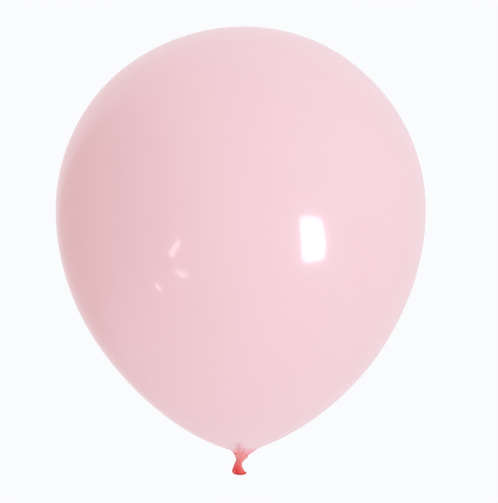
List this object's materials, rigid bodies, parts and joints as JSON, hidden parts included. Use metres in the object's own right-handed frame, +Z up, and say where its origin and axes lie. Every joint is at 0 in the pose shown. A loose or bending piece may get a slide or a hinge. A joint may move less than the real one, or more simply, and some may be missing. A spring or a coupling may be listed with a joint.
{
  "type": "latex balloon",
  "caption": "Inflated pale pink latex balloon, teardrop shaped, with a puckered throat, a tied knot and a short open tail with a rolled rim.",
  "frame": {"origin": "centre of the narrow waist under the knot, where a ribbon is tied", "axes": "+Z up the balloon's axis to its crown, +X to the right of the loop's high side, -Y towards the viewer"},
  "size_m": [0.2999, 0.3, 0.364],
  "materials": {
    "stretched_latex": "glossy",
    "puckered_latex": "glossy",
    "knot_latex": "satin",
    "tail_latex": "satin"
  },
  "bodies": {
    "balloon": {"envelope": "stretched_latex"},
    "neck": {"throat": "puckered_latex"},
    "knot": {"knot_loop": "knot_latex", "knot_core": "knot_latex"},
    "strand": {"neck_strand": "knot_latex"},
    "tail": {"tail_sleeve": "tail_latex", "rim_bead": "tail_latex"}
  },
  "joints": [
    {"name": "neck_swing", "type": "hinge", "parent": "balloon", "child": "neck", "pos_m": [0, 0, 0.01125], "axis": [0, 1, 0], "range_deg": [-50, 50], "stiffness_Nm_per_rad": 0.0001},
    {"name": "knot_twist", "type": "hinge", "parent": "neck", "child": "knot", "pos_m": [0, 0, 0.007], "axis": [0, 0, 1], "range_deg": [-180, 180], "stiffness_Nm_per_rad": 0.00005},
    {"name": "strand_nod", "type": "hinge", "parent": "knot", "child": "strand", "pos_m": [0, 0, 0.0032], "axis": [1, 0, 0], "range_deg": [-30, 30], "stiffness_Nm_per_rad": 0.00002},
    {"name": "tail_swing", "type": "hinge", "parent": "strand", "child": "tail", "pos_m": [0, 0, -0.0024], "axis": [0, 1, 0], "range_deg": [-45, 45], "stiffness_Nm_per_rad": 0.00001}
  ]
}
